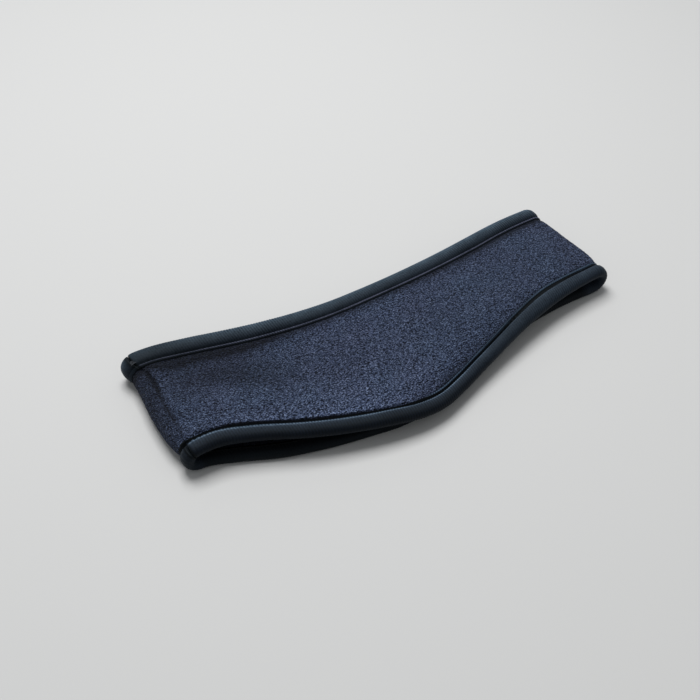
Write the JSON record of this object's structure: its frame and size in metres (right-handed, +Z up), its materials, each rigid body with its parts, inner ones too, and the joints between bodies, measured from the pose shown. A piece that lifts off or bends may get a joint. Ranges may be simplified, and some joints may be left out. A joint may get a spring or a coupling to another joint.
{
  "type": "fleece headband",
  "caption": "Wide fleece ear-warmer headband, deeper over the ears, with a stretch tape folded over each edge, lying flat and folded double.",
  "frame": {"origin": "middle of the footprint, on the surface that the folded headband lies on", "axes": "+X along the folded band, from the fold beside the back seam to the other fold; +Y across it, from the ear edge to the top edge; +Z up"},
  "size_m": [0.2384, 0.1016, 0.0159],
  "materials": {
    "fleece": "slate-blue polyester fleece with a short, pebbly nap",
    "top_tape": "charcoal knitted elastic tape with a slight sheen and fine cross ribs",
    "ear_tape": "dark navy knitted elastic tape with a slight sheen and fine cross ribs"
  },
  "bodies": {
    "root": {"fleece_band": "fleece", "top_binding": "top_tape", "ear_binding": "ear_tape"}
  },
  "joints": []
}
